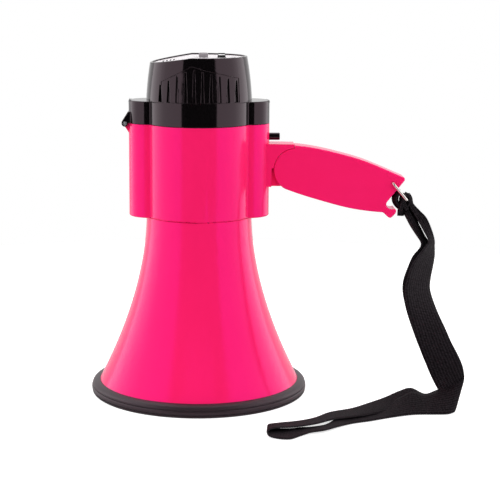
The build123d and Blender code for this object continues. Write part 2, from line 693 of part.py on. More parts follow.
def talk_button():
    """Push button in the lobe's wall."""
    button = rod_x(TALK_R, BUTTON_FLANGE_X, TALK_END, 0, TALK_Z)
    button = fillet(button.edges().group_by(Axis.X)[-1], 0.6)
    return button + rod_x(TALK_R + 1.0, BUTTON_FLANGE_X - 1.2, BUTTON_FLANGE_X, 0, TALK_Z)


def talk_plunger():
    """Plunger of the talk switch, carried by the button."""
    return rod_x(PLUNGER_R, SWITCH_X1 - 2.5, BUTTON_FLANGE_X - 1.2, 0, TALK_Z)


def talk_switch():
    """Body of the talk switch, held between the housing's ribs."""
    body = block(SWITCH_X0, SWITCH_X1, -SWITCH_HALF, SWITCH_HALF, TALK_Z - 4, TALK_Z + 4)
    return body - rod_x(PLUNGER_R + RUN, SWITCH_X1 - 2.5 - TALK_TRAVEL - 0.5, SWITCH_X1 + 1, 0, TALK_Z)


# ---- handle -----------------------------------------------------------------------------

HALF = GRIP_T / 2
TONGUE_HALF = TONGUE_T / 2
CHEEK_IN = TONGUE_HALF + WASHER_T + 0.1     # inner face of a cheek
BORE_R = PIVOT_R + RUN


def handle_bracket():
    """Fixed bracket on the lobe: a full-width block above, a thin tongue through the pivot."""
    upper = plate_xz([(LOBE_X + 8, BRACKET_STEP), (PIVOT_X - 6, BRACKET_STEP), (BRACKET_END, BRACKET_STEP + 8),
                      (BRACKET_END, BRACKET_TOP - 0.3), (LOBE_X + 8, BRACKET_TOP)], -HALF, HALF)
    upper -= rod_y(CHEEK_R + GAP, -HALF - 1, HALF + 1, PIVOT_X, PIVOT_Z)
    upper = fillet(upper.edges().filter_by(Axis.Y).group_by(Axis.Z)[-1], 0.4)
    tongue = block(LOBE_X + 8, PIVOT_X, -TONGUE_HALF, TONGUE_HALF, BRACKET_BOTTOM, BRACKET_STEP + 4)
    tongue += rod_y(TONGUE_R, -TONGUE_HALF, TONGUE_HALF, PIVOT_X, PIVOT_Z)
    foot = block(LOBE_X + 8, LOBE_X + LOBE_R + 1.4, -HALF, HALF, BRACKET_BOTTOM, BRACKET_STEP)
    bracket = upper + tongue + foot
    bracket -= rod(LOBE_R, BRACKET_BOTTOM - 5, BRACKET_TOP + 5, LOBE_X)
    for z in BRACKET_SCREW_Z:
        bracket -= rod_x(SCREW_R, LOBE_X, LOBE_X + LOBE_R + 8, 0, z)
    return bracket - rod_y(BORE_R, -HALF, HALF, PIVOT_X, PIVOT_Z)


def bracket_screws():
    """Screws from inside the lobe into the bracket."""
    x = LOBE_WALL_X - 0.3
    return [rod_x(SCREW_R, x, LOBE_X + LOBE_R + 7.5, 0, z) + rod_x(SCREW_HEAD_R, x - SCREW_HEAD_H, x, 0, z)
            for z in BRACKET_SCREW_Z]


def handle_outline():
    """Side view of the handle: round end at the pivot, grip, hooked end with the ring's eye."""
    left = BRACKET_END + GAP
    top = Spline((left, 0, 184.4), *[(x, 0, z) for x, z in HANDLE_TOP], (148.8, 0, 161.4))
    tip = ThreePointArc((148.8, 0, 161.4), (150.3, 0, 160.2), (150.0, 0, 158.4))
    prong = Line((150.0, 0, 158.4), (137.9, 0, 143.2))
    notch = Spline((137.9, 0, 143.2), (137.5, 0, 139.8), (140.3, 0, 137.7), (143.6, 0, 137.9))
    claw = Spline((143.6, 0, 137.9), (144.5, 0, 136.3), (142.2, 0, 132.4), (140.2, 0, 131.1), (138.0, 0, 132.2),
                  (134.3, 0, 135.2))
    low_end = (PIVOT_X - 7.4, 0, PIVOT_Z - math.sqrt(CHEEK_R ** 2 - 7.4 ** 2))
    low = Spline((134.3, 0, 135.2), *[(x, 0, z) for x, z in HANDLE_LOW], low_end)
    high_end = (left, 0, PIVOT_Z + math.sqrt(CHEEK_R ** 2 - (PIVOT_X - left) ** 2))
    cheek = ThreePointArc(low_end, (PIVOT_X - CHEEK_R, 0, PIVOT_Z), high_end)
    return make_face(Wire([top, tip, prong, notch, claw, low, cheek, Line(high_end, (left, 0, 184.4))]))


def handle_blank():
    """Whole handle with rounded edges, before it is split into two shells."""
    face = handle_outline()
    whole = Pos(0, -HALF, 0) * extrude(face, amount=GRIP_T, dir=(0, 1, 0))
    rims = whole.edges().filter_by(lambda e: abs(abs(e.center().Y) - HALF) < 0.01 and e.length > ROUND_FROM)
    return fillet(rims, EDGE_ROUND)


def handle_space():
    """Room inside the handle for the tongue over its whole travel."""
    space = rod_y(CHEEK_R + 1, -CHEEK_IN, CHEEK_IN, PIVOT_X, PIVOT_Z)
    space -= block(PIVOT_X - 1, PIVOT_X + 30, -HALF, HALF, PIVOT_Z + TONGUE_R + GAP, PIVOT_Z + 40)
    space += block(PIVOT_X - 20, PIVOT_X + 14.5, -CHEEK_IN, CHEEK_IN, PIVOT_Z - 30, PIVOT_Z)
    return space


def handle_hollow():
    """Hollow of the grip, between its walls."""
    ceiling = Spline(*[(x, 0, z - HANDLE_WALL) for x, z in HANDLE_TOP])
    floor = Spline(*[(x, 0, z + HANDLE_WALL) for x, z in HANDLE_LOW])
    ends = [Line(ceiling @ 1, floor @ 0), Line(floor @ 1, ceiling @ 0)]
    inner = make_face(Wire([ceiling, ends[0], floor, ends[1]]))
    solid = Pos(0, -HALF + WALL, 0) * extrude(inner, amount=GRIP_T - 2 * WALL, dir=(0, 1, 0))
    hollow = solid & block(PIVOT_X + CHEEK_R + 3, 130, -HALF, HALF, 100, 200)
    for x, z in HANDLE_SCREWS:
        hollow -= rod_y(SCREW_R + 2.0, -HALF, HALF, x, z)
    return hollow


def handle_shell(front):
    """One half of the handle."""
    y0, y1 = (-HALF - 1, 0) if front else (0, HALF + 1)
    shell = HANDLE & block(50, 160, y0, y1, 120, 200)
    for x, z in HANDLE_SCREWS:
        shell -= rod_y(SCREW_R, -HALF + 3.2, HALF + 1, x, z)
        shell -= rod_y(SCREW_HEAD_R + FIT, HALF - 2.4, HALF + 1, x, z)
    shell -= rod_y(PIVOT_R, -HALF + 1.6, HALF + 1, PIVOT_X, PIVOT_Z)
    shell -= rod_y(PIVOT_R + 1.8 + FIT, HALF - 2.6, HALF + 1, PIVOT_X, PIVOT_Z)
    return shell - rod_y(WIRE_R + RUN, -HALF - 1, HALF + 1, EYE_X, EYE_Z)


def handle_screws():
    """Three screws from the rear shell into the front shell."""
    screws = []
    for x, z in HANDLE_SCREWS:
        head = rod_y(SCREW_HEAD_R, HALF - 2.4, HALF - 1.0, x, z)
        slot = block(x - SCREW_HEAD_R, x + SCREW_HEAD_R, HALF - 1.5, HALF, z - 0.3, z + 0.3)
        screws.append(rod_y(SCREW_R, -HALF + 3.2, HALF - 2.4, x, z) + head - slot)
    return screws


def pivot_bolt():
    """Steel bolt the handle folds on, head in the rear shell."""
    shank = rod_y(PIVOT_R, -HALF + 1.7, HALF - 2.6, PIVOT_X, PIVOT_Z)
    return shank + rod_y(PIVOT_R + 1.8, HALF - 2.6, HALF - 0.8, PIVOT_X, PIVOT_Z)


def pivot_washers():
    """Two thin washers between tongue and cheeks."""
    ring = []
    for side in (-1, 1):
        y0, y1 = sorted((side * (CHEEK_IN - WASHER_T), side * CHEEK_IN))
        disc = rod_y(TONGUE_R - 5, y0, y1, PIVOT_X, PIVOT_Z)
        ring.append(disc - rod_y(PIVOT_R, -HALF, HALF, PIVOT_X, PIVOT_Z))
    return ring


# ---- ring and strap ---------------------------------------------------------------------

def strap_ring():
    """Wire ring through the handle's eye, with a straight bar for the strap."""
    eye = [(EYE_X, -RING_HALF, EYE_Z), (EYE_X, RING_HALF, EYE_Z)]
    bar = [(BAR_X, RING_HALF, BAR_Z), (BAR_X, -RING_HALF, BAR_Z)]
    path = FilletPolyline(*eye, *bar, radius=2.2, close=True)
    start = path @ 0
    section = Plane(origin=start, z_dir=path % 0) * Circle(WIRE_R)
    return sweep(section, path=path)


# Middle of the doubled webbing from the bar to the fold, the direction across it, and its width.
HANGING = [
    ((153.0, 0.0, 138.0), (0.0, 1.0, 0.0), 16.0),
    ((156.0, -3.0, 128.0), (0.25, 0.97, 0.0), 19.0),
    ((163.0, -9.0, 118.0), (0.4, 0.92, 0.0), 22.0),
    ((166.0, -17.0, 106.0), (0.55, 0.83, 0.0), STRAP_W),
    ((161.5, -26.0, 92.0), (0.66, 0.75, 0.0), STRAP_W),
    ((159.5, -35.0, 77.0), (0.7, 0.71, 0.0), STRAP_W),
    ((162.5, -45.0, 61.0), (0.74, 0.67, 0.0), STRAP_W),
    ((168.5, -54.0, 44.0), (0.77, 0.6, -0.2), STRAP_W),
    ((176.0, -62.0, 27.0), (0.7, 0.3, -0.6), STRAP_W),
    ((181.0, -68.5, 14.5), (0.35, 0.0, -0.93), STRAP_W),
]
# Bottom edge of the webbing along the floor, the lean of its face, and its height across.
FLOOR = [
    ((182.0, -70.0), 86.0), ((170.0, -72.0), 60.0), ((150.0, -72.5), 42.0), ((131.0, -79.0), 36.0),
    ((112.0, -87.0), 28.0), ((92.0, -96.5), 20.0),
]
LOOP = [
    (94.0, -90.0), (73.0, -106.0), (60.0, -121.0), (50.0, -117.0), (48.0, -102.0), (60.0, -92.0), (76.0, -88.0),
]
LOOP_H = 14.0


def strip(centres, across, widths, thickness):
    """Band with a rectangular section, carried through a list of stations."""
    faces = []
    for i, centre in enumerate(centres):
        after = Vector(*centres[min(i + 1, len(centres) - 1)])
        ahead = (after - Vector(*centres[max(i - 1, 0)])).normalized()
        plane = Plane(origin=centre, x_dir=across[i] - ahead * across[i].dot(ahead), z_dir=ahead)
        faces.append(plane * Rectangle(widths[i], thickness))
    return loft(faces, ruled=True)


def wrist_strap():
    """Closed loop of webbing hitched on the ring's bar; it hangs and then lies on the floor."""
    middles = [middle for middle, _, _ in HANGING]
    ways = [Vector(*way).normalized() for _, way, _ in HANGING]
    hang = strip(middles, ways, [width for _, _, width in HANGING], STRAP_T)
    centres = []
    across = []
    for (x, y), lean in FLOOR:
        up = Vector(0, math.cos(math.radians(lean)), math.sin(math.radians(lean)))
        centres.append(tuple(Vector(x, y, STRAP_T / 2 + 0.1) + up * (STRAP_W / 2)))
        across.append(up)
    run = strip(centres, across, [STRAP_W] * len(centres), STRAP_T)
    path = FilletPolyline(*LOOP, radius=5.0)
    band = extrude(make_face(path.wire().offset_2d(STRAP_T / 4)), amount=LOOP_H)
    hitch = rod_y(5.0, -9.0, 9.0, BAR_X, BAR_Z - 1.5)
    strap = hang + run + Pos(0, 0, 0.1) * band + hitch
    return strap - rod_y(WIRE_R + 0.02, -RING_HALF - 2, RING_HALF + 2, BAR_X, BAR_Z)


HANDLE = handle_blank() - handle_space() - handle_hollow()

PARTS = {
    "horn_bell": horn_bell(),
    "rim_trim": rim_trim(),
    "body_housing": body_housing(),
    "driver_gasket": driver_gasket(),
    "driver_frame": driver_frame(),
    "driver_surround": driver_surround(),
    "driver_cone": driver_cone(),
    "voice_coil": voice_coil(),
    "dust_cap": dust_cap(),
    "front_plate": front_plate(),
    "driver_magnet": driver_magnet(),
    "back_plate": back_plate(),
    "driver_screws": driver_screws(),
    "battery_tray": battery_tray(),
    "tray_contacts": tray_contacts(),
    "tray_screws": tray_screws(),
    "talk_switch": talk_switch(),
    "talk_button": talk_button(),
    "talk_plunger": talk_plunger(),
    "handle_bracket": handle_bracket(),
    "bracket_screws": bracket_screws(),
    "handle_shell_front": handle_shell(True),
    "handle_shell_rear": handle_shell(False),
    "handle_screws": handle_screws(),
    "pivot_bolt": pivot_bolt(),
    "pivot_washers": pivot_washers(),
    "strap_ring": strap_ring(),
    "wrist_strap": wrist_strap(),
    "rear_cap": rear_cap(),
    "hinge_pin": hinge_pin(),
    "cap_deck": cap_deck(),
    "deck_contacts": deck_contacts(),
    "deck_screws": deck_screws(),
    "control_panel": control_panel(),
    "circuit_board": circuit_board(),
    "board_screws": board_screws(),
    "volume_wheel": volume_wheel(),
    "volume_shaft": volume_shaft(),
    "volume_pot": volume_pot(),
    "mode_knob": mode_knob(),
    "mode_switch": mode_switch(),
    "mic_capsule": mic_capsule(),
    "mic_boot": mic_boot(),
    "mic_foam": mic_foam(),
    "amplifier_chip": amplifier_chip(),
    "capacitors": capacitors(),
}
for number, (x, y) in enumerate(CELLS, start=1):
    PARTS[f"battery_cell_{number}"] = battery_cell(x, y)

os.makedirs("parts", exist_ok=True)
for name, shape in PARTS.items():
    solid = Compound(children=shape) if isinstance(shape, list) else shape
    export_step(solid, f"parts/{name}.step")
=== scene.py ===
# Looks of a handheld megaphone: moulded shells, rubber rim, controls, wire ring and woven strap.
import json
import math

import bmesh
import bpy
from mathutils import Matrix, Vector


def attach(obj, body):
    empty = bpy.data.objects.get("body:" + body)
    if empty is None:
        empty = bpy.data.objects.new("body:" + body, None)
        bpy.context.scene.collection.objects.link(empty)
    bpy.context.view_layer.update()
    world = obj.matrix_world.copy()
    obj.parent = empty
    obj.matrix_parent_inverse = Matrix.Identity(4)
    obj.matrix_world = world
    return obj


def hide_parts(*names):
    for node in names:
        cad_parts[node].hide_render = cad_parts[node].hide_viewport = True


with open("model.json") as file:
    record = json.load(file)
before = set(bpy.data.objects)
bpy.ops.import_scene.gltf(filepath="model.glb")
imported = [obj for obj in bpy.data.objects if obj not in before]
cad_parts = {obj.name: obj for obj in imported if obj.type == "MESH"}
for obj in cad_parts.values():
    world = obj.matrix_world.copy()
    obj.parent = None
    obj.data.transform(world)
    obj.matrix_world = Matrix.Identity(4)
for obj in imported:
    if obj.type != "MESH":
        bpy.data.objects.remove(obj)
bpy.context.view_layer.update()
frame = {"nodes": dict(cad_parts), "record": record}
MM = 0.001

# ---- camera, floor and light ------------------------------------------------------------

CAMERA_PLACE = (0.0, -1.0906, 0.3118)
CAMERA_DOWN = 0.1868
CAMERA_RIGHT = 0.0345
CAMERA_ROLL = 0.0069
CAMERA_LENS = 108.0
CAMERA_SENSOR = 36.0
FLOOR_HALF = 0.62        # radius of the paper disc, metres: upright walls do not mirror it
FLOOR_SIDES = 96
FLOOR_GLOW = 0.75        # added for the lens only, so that the paper reads white
ROOM_FRONT = 0.02        # room behind the camera, dark
ROOM_BACK = 0.9          # room behind the megaphone, light
SIDE_GLOW = 1.35
TOP_GLOW = 1.6
FILL_GLOW = 3.95
SIDE_PLACE = (1.0, -0.25, 0.35)
TOP_PLACE = (0.0, 0.45, 1.7)
FILL_PLACE = (0.0, -1.9, 1.9)
LIGHT_AIM = (0.0, 0.0, 0.15)


def linear(hex_colour):
    """sRGB hex to a linear RGBA colour."""
    parts = [int(hex_colour[i:i + 2], 16) / 255 for i in (1, 3, 5)]
    return [c / 12.92 if c <= 0.04045 else ((c + 0.055) / 1.055) ** 2.4 for c in parts] + [1.0]


def node(tree, kind, inputs=None, **settings):
    """Add a node, set its properties, and set or link its inputs."""
    made = tree.nodes.new(kind)
    for key, value in settings.items():
        setattr(made, key, value)
    for key, value in (inputs or {}).items():
        if isinstance(value, bpy.types.NodeSocket):
            tree.links.new(value, made.inputs[key])
        else:
            made.inputs[key].default_value = value
    return made


def make_camera():
    """Camera level with the housing, looking slightly down and to the right."""
    data = bpy.data.cameras.new("camera")
    data.lens = CAMERA_LENS
    data.sensor_width = CAMERA_SENSOR
    data.clip_end = 20.0
    camera = bpy.data.objects.new("camera", data)
    camera.location = CAMERA_PLACE
    turn = Matrix.Rotation(-CAMERA_RIGHT, 3, "Z") @ Matrix.Rotation(math.pi / 2 - CAMERA_DOWN, 3, "X")
    camera.rotation_euler = (turn @ Matrix.Rotation(CAMERA_ROLL, 3, "Z")).to_euler()
    bpy.context.scene.collection.objects.link(camera)
    bpy.context.scene.camera = camera


def softbox(name, place, aim, width, height, radiance, in_gloss=True):
    """Rectangular studio light aimed at a point, as bright as its radiance says."""
    data = bpy.data.lights.new(name, "AREA")
    data.shape = "RECTANGLE"
    data.size = width
    data.size_y = height
    data.energy = radiance * math.pi * width * height
    lamp = bpy.data.objects.new(name, data)
    lamp.location = place
    lamp.rotation_euler = (Vector(aim) - Vector(place)).to_track_quat("-Z", "Y").to_euler()
    lamp.visible_glossy = in_gloss
    bpy.context.scene.collection.objects.link(lamp)


def make_floor():
    """White paper that stays white to the lens and throws a little light back up."""
    mesh = bpy.data.meshes.new("floor")
    edge = [(FLOOR_HALF * math.cos(a), FLOOR_HALF * math.sin(a), 0.0)
            for a in (2 * math.pi * i / FLOOR_SIDES for i in range(FLOOR_SIDES))]
    mesh.from_pydata(edge, [], [tuple(range(FLOOR_SIDES))])
    floor = bpy.data.objects.new("floor", mesh)
    bpy.context.scene.collection.objects.link(floor)
    paper = bpy.data.materials.new("white_paper_sweep")
    paper.use_nodes = True
    tree = paper.node_tree
    shader = tree.nodes["Principled BSDF"]
    shader.inputs["Base Color"].default_value = linear("#D8D8D8")
    shader.inputs["Roughness"].default_value = 0.95
    shader.inputs["Specular IOR Level"].default_value = 0.0
    glow = node(tree, "ShaderNodeEmission", {"Color": (1, 1, 1, 1), "Strength": FLOOR_GLOW})
    both = node(tree, "ShaderNodeAddShader", {0: shader.outputs[0], 1: glow.outputs[0]})
    seen = node(tree, "ShaderNodeLightPath").outputs["Is Camera Ray"]
    mix = node(tree, "ShaderNodeMixShader", {0: seen, 1: shader.outputs[0], 2: both.outputs[0]})
    tree.links.new(mix.outputs[0], tree.nodes["Material Output"].inputs["Surface"])
    mesh.materials.append(paper)


def make_studio():
    """White surround for the camera, dark room in front, softboxes left, right and above."""
    world = bpy.data.worlds.new("studio")
    bpy.context.scene.world = world
    world.use_nodes = True
    tree = world.node_tree
    tree.nodes.clear()
    way = node(tree, "ShaderNodeTexCoord").outputs["Generated"]
    axes = node(tree, "ShaderNodeSeparateXYZ", {0: way})
    behind = node(tree, "ShaderNodeMapRange", {"Value": axes.outputs["Y"], "From Min": -0.15, "From Max": 0.55,
                                              "To Min": ROOM_FRONT, "To Max": ROOM_BACK})
    glow = behind.outputs["Result"]
    room = node(tree, "ShaderNodeBackground", {"Color": (1, 1, 1, 1), "Strength": glow})
    white = node(tree, "ShaderNodeBackground", {"Color": (1, 1, 1, 1), "Strength": 1.0})
    seen = node(tree, "ShaderNodeLightPath").outputs["Is Camera Ray"]
    mix = node(tree, "ShaderNodeMixShader", {0: seen, 1: room.outputs[0], 2: white.outputs[0]})
    node(tree, "ShaderNodeOutputWorld", {"Surface": mix.outputs[0]})
    x, y, z = SIDE_PLACE
    softbox("left_softbox", (-x, y, z), (0.0, y, z), 2.1, 2.4, SIDE_GLOW)
    softbox("right_softbox", (x, y, z), (0.0, y, z), 2.1, 2.4, SIDE_GLOW)
    softbox("top_softbox", TOP_PLACE, LIGHT_AIM, 1.6, 1.0, TOP_GLOW)
    softbox("front_fill", FILL_PLACE, LIGHT_AIM, 1.6, 1.6, FILL_GLOW, in_gloss=False)


bpy.context.scene.view_settings.view_transform = "Standard"
make_camera()
make_floor()
make_studio()

# ---- materials --------------------------------------------------------------------------


def blank(name):
    """New node material: its tree and its Principled shader."""
    material = bpy.data.materials.new(name)
    material.use_nodes = True
    return material, material.node_tree, material.node_tree.nodes["Principled BSDF"]


def per_metre(size_mm):
    """Texture scale for a pattern whose feature size is given in millimetres."""
    return 1000.0 / size_mm


PATCH_MM = 22.0          # size of the slow drift in colour and gloss of a moulding
GLOSS_SPREAD = 0.05      # share of the roughness by which the gloss drifts


def moulded(name, colour, second, roughness, grain_mm, depth_mm, tint_hex="#FFFFFF"):
    """Moulded or cast surface: fine grain in the relief, slow drift in colour and gloss."""
    material, tree, shader = blank(name)
    place = node(tree, "ShaderNodeTexCoord").outputs["Object"]
    drift = node(tree, "ShaderNodeTexNoise", {"Vector": place, "Scale": per_metre(PATCH_MM), "Detail": 2.0})
    tint = node(tree, "ShaderNodeMix", {0: drift.outputs["Fac"], "A": linear(colour), "B": linear(second)},
                data_type="RGBA")
    swing = GLOSS_SPREAD * roughness
    gloss = node(tree, "ShaderNodeMapRange", {"Value": drift.outputs["Fac"], "To Min": roughness - swing,
                                              "To Max": roughness + swing})
    grain = node(tree, "ShaderNodeTexNoise", {"Vector": place, "Scale": per_metre(grain_mm), "Detail": 3.0})
    relief = node(tree, "ShaderNodeBump", {"Height": grain.outputs["Fac"], "Strength": 0.35,
                                           "Distance": depth_mm * MM})
    tree.links.new(tint.outputs["Result"], shader.inputs["Base Color"])
    tree.links.new(gloss.outputs["Result"], shader.inputs["Roughness"])
    tree.links.new(relief.outputs["Normal"], shader.inputs["Normal"])
    shader.inputs["Specular Tint"].default_value = linear(tint_hex)
    return material


def metal(name, colour, second, roughness, scratch_mm, depth_mm):
    """Metal with fine marks drawn out along one axis."""
    material, tree, shader = blank(name)
    place = node(tree, "ShaderNodeTexCoord").outputs["Object"]
    drawn = node(tree, "ShaderNodeMapping", {"Vector": place, "Scale": (1.0, 0.12, 1.0)})
    scale = per_metre(scratch_mm)
    marks = node(tree, "ShaderNodeTexNoise", {"Vector": drawn.outputs[0], "Scale": scale, "Detail": 4.0})
    tint = node(tree, "ShaderNodeMix", {0: marks.outputs["Fac"], "A": linear(colour), "B": linear(second)},
                data_type="RGBA")
    gloss = node(tree, "ShaderNodeMapRange", {"Value": marks.outputs["Fac"], "To Min": roughness * 0.7,
                                              "To Max": roughness * 1.3})
    relief = node(tree, "ShaderNodeBump", {"Height": marks.outputs["Fac"], "Strength": 0.3,
                                           "Distance": depth_mm * MM})
    tree.links.new(tint.outputs["Result"], shader.inputs["Base Color"])
    tree.links.new(gloss.outputs["Result"], shader.inputs["Roughness"])
    tree.links.new(relief.outputs["Normal"], shader.inputs["Normal"])
    shader.inputs["Metallic"].default_value = 1.0
    return material


MATERIALS = {
    # Glossy injection-moulded ABS in a fluorescent pink: saturated body colour under a hard shine.
    "pink_abs": moulded("pink_gloss_abs", "#FF226B", "#FD1F66", 0.17, 9.0, 0.012, tint_hex="#FF30FF"),
    # Natural rubber with a faint bloom: dark, warm grey, broad soft highlights.
    "rim_rubber": moulded("rim_rubber", "#1F191D", "#292226", 0.4, 0.35, 0.02, tint_hex="#FFDDEC"),
    # High-gloss black ABS: black body, clear reflections of the softboxes.
    "black_gloss": moulded("black_gloss_abs", "#060506", "#0A0809", 0.09, 9.0, 0.004, tint_hex="#FFDCEC"),
    # Open-cell polyurethane: dead matt, open pores catching specks of light.
    "foam": moulded("open_cell_foam", "#18181A", "#222225", 0.9, 0.6, 0.3),
    # Zinc-plated pressed sheet: cool grey with a soft drawn sheen.
    "pressed_steel": metal("zinc_plated_sheet", "#A9ABB0", "#8F9196", 0.32, 0.5, 0.01),
    # Moulded butyl rubber: near-black, wide dull highlight.
    "surround_rubber": moulded("butyl_rubber", "#101012", "#18181A", 0.55, 0.4, 0.02),
    # Pressed paper pulp: matt charcoal with short fibres standing in relief.
    "cone_paper": moulded("pressed_paper_pulp", "#16161A", "#242428", 0.85, 0.5, 0.12),
    # Enamelled copper wire: warm orange shine.
    "coil_copper": metal("enamelled_copper", "#B87048", "#9C5A36", 0.3, 0.3, 0.02),
    # Sintered ferrite: dark, ground, faintly grainy.
    "ferrite": moulded("sintered_ferrite", "#1B1B1E", "#262629", 0.6, 0.3, 0.02),
    # Zinc-plated steel screws: pale grey, bright at the edges.
    "zinc_screw": metal("zinc_plated_steel", "#B4B6BA", "#97999E", 0.28, 0.3, 0.01),
    # Spark-eroded black ABS inside the case: matt and even.
    "inner_abs": moulded("matt_black_abs", "#141416", "#1C1C1F", 0.5, 0.3, 0.015),
    # Nickel-plated spring strip: warm white shine.
    "nickel_contact": metal("nickel_plated_strip", "#CFCBC2", "#B5B1A8", 0.18, 0.4, 0.01),
    # Shrunk foil jacket of a cell: smooth dark blue with a soft gloss.
    "cell_jacket": moulded("printed_foil_jacket", "#2B3A55", "#33466A", 0.22, 6.0, 0.01),
    # Drawn steel: light grey, satin along its length.
    "bright_steel": metal("bright_drawn_steel", "#E4E4E8", "#CCCED2", 0.38, 0.4, 0.006),
    # Bent nickel-plated wire: mirror-like, dark and light bands along it.
    "nickel_wire": metal("nickel_plated_wire", "#E6DEDA", "#CFC7C3", 0.14, 0.6, 0.006),
    # Silver paint over ABS: pale grey with a fine sparkle of grain.
    "silver_panel": moulded("silver_painted_abs", "#E6DFE3", "#EDE7EA", 0.34, 0.25, 0.01),
    # Solder mask over copper: deep green with a slight orange-peel.
    "board_green": moulded("solder_mask", "#0E4A26", "#125A2E", 0.35, 1.2, 0.03),
    # Matt moulded ABS: soft black that keeps the ribs readable.
    "wheel_abs": moulded("matt_black_wheel_abs", "#040404", "#080708", 0.5, 0.3, 0.01),
    # Grey moulded ABS: plain mid grey, no shine.
    "knob_grey": moulded("grey_knob_abs", "#8A8488", "#938D91", 0.4, 0.3, 0.015),
    # Drawn aluminium can: light grey, satin.
    "part_grey": metal("drawn_aluminium_can", "#A4A6AA", "#8C8E93", 0.35, 0.4, 0.01),
}

# Painted highlight: a flat white slab standing for the bright line of light on the thumb wheel.
WHEEL_HIGHLIGHT_PAINT = moulded("painted_wheel_highlight", "#E9E7E8", "#F2F0F1", 0.5, 0.2, 0.005)
# Grey screen-printed ink: faint marks beside the controls.
PANEL_INK = moulded("grey_screen_print", "#8E8B8E", "#979497", 0.5, 0.2, 0.005)

WEAVE_MM = 1.1           # thread spacing, drawn coarser than the real 0.7 so that it shows


def webbing():
    """Woven nylon webbing, no shine: rows of soft grey thread tops as painted light over a near-black ground as
    painted shade between the threads.
    """
    material, tree, shader = blank("woven_nylon_webbing")
    weave = node(tree, "ShaderNodeUVMap", uv_map="weave").outputs["UV"]
    cell = 1.0 / (WEAVE_MM * MM)
    stretched = node(tree, "ShaderNodeMapping", {"Vector": weave, "Scale": (cell * 0.5, cell, 1.0)})
    thread = node(tree, "ShaderNodeTexVoronoi", {"Vector": stretched.outputs[0], "Scale": 1.0, "Randomness": 0.25})
    fuzz = node(tree, "ShaderNodeTexNoise", {"Vector": weave, "Scale": 900.0, "Detail": 3.0})
    crown_height_and_shade = node(tree, "ShaderNodeMapRange", {"Value": thread.outputs["Distance"], "From Min": 0.15,
                                              "From Max": 0.6, "To Min": 1.0, "To Max": 0.0})
    top = crown_height_and_shade.outputs["Result"]
    # Painted light and shade: the colour follows the crown height, soft grey on the thread tops and near-black in
    # the gaps between threads.
    tint = node(tree, "ShaderNodeMix", {0: top, "A": linear("#040304"), "B": linear("#2C272B")}, data_type="RGBA")
    height = node(tree, "ShaderNodeMath", {0: top, 1: fuzz.outputs["Fac"]}, operation="MULTIPLY")
    relief = node(tree, "ShaderNodeBump", {"Height": height.outputs[0], "Strength": 0.8, "Distance": 0.35 * MM})
    tree.links.new(tint.outputs["Result"], shader.inputs["Base Color"])
    tree.links.new(relief.outputs["Normal"], shader.inputs["Normal"])
    shader.inputs["Roughness"].default_value = 0.7
    shader.inputs["Specular IOR Level"].default_value = 0.08
    shader.inputs["Specular Tint"].default_value = linear("#FFE6F2")
    shader.inputs["Sheen Weight"].default_value = 0.0
    shader.inputs["Sheen Roughness"].default_value = 0.4
    return material


MATERIALS["nylon_webbing"] = webbing()

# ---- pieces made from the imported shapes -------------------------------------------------

BODY_OF = {}
SLOT_OF = {}
for row in frame["record"]["subparts"]:
    SLOT_OF[row["node"]] = row["material_slot"]
for body, names in frame["record"]["behaviour"]["bodies"].items():
    for name in names:
        BODY_OF[name] = body


def link(name, mesh, material):
    """New object at the origin with one material."""
    piece = bpy.data.objects.new(name, mesh)
    bpy.context.scene.collection.objects.link(piece)
    mesh.materials.clear()
    mesh.materials.append(material)
    return piece


def stand_in(piece, cad_name):
    """The piece takes the place and body of a CAD node."""
    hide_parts(cad_name)
    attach(piece, BODY_OF[cad_name])


def moulding(cad_name, edge_mm, crease=28.0, clamp=True):
    """Copy of a CAD shell with smooth shading and softened edges, as it leaves the mould."""
    mesh = frame["nodes"][cad_name].data.copy()
    work = bmesh.new()
    work.from_mesh(mesh)
    bmesh.ops.remove_doubles(work, verts=work.verts, dist=2e-6)
    bmesh.ops.dissolve_limit(work, angle_limit=math.radians(0.4), verts=work.verts, edges=work.edges)
    for face in work.faces:
        face.smooth = True
    for edge in work.edges:
        edge.smooth = len(edge.link_faces) == 2 and edge.calc_face_angle(0.0) < math.radians(crease)
    work.to_mesh(mesh)
    work.free()
    piece = link(cad_name + "_moulding", mesh, MATERIALS[SLOT_OF[cad_name]])
    if edge_mm:
        soften = piece.modifiers.new("edge", "BEVEL")
        soften.width = edge_mm * MM
        soften.segments = 2
        soften.limit_method = "ANGLE"
        soften.angle_limit = math.radians(crease)
        soften.harden_normals = True
        soften.use_clamp_overlap = clamp
    flat = piece.modifiers.new("normals", "WEIGHTED_NORMAL")
    flat.keep_sharp = True
    stand_in(piece, cad_name)
    return piece


LOOSE_EDGES = ("rear_cap", "body_housing")
SOFT_EDGES = {           # width of the softened edge of each moulding, millimetres
    "horn_bell": 0.3, "body_housing": 0.25, "rear_cap": 0.3, "handle_shell_front": 0.3, "handle_shell_rear": 0.3,
    "handle_bracket": 0.2, "talk_button": 0.3, "control_panel": 0.15, "mode_knob": 0.3, "strap_ring": 0.0,
}
for name, edge in SOFT_EDGES.items():
    moulding(name, edge, clamp=name not in LOOSE_EDGES)


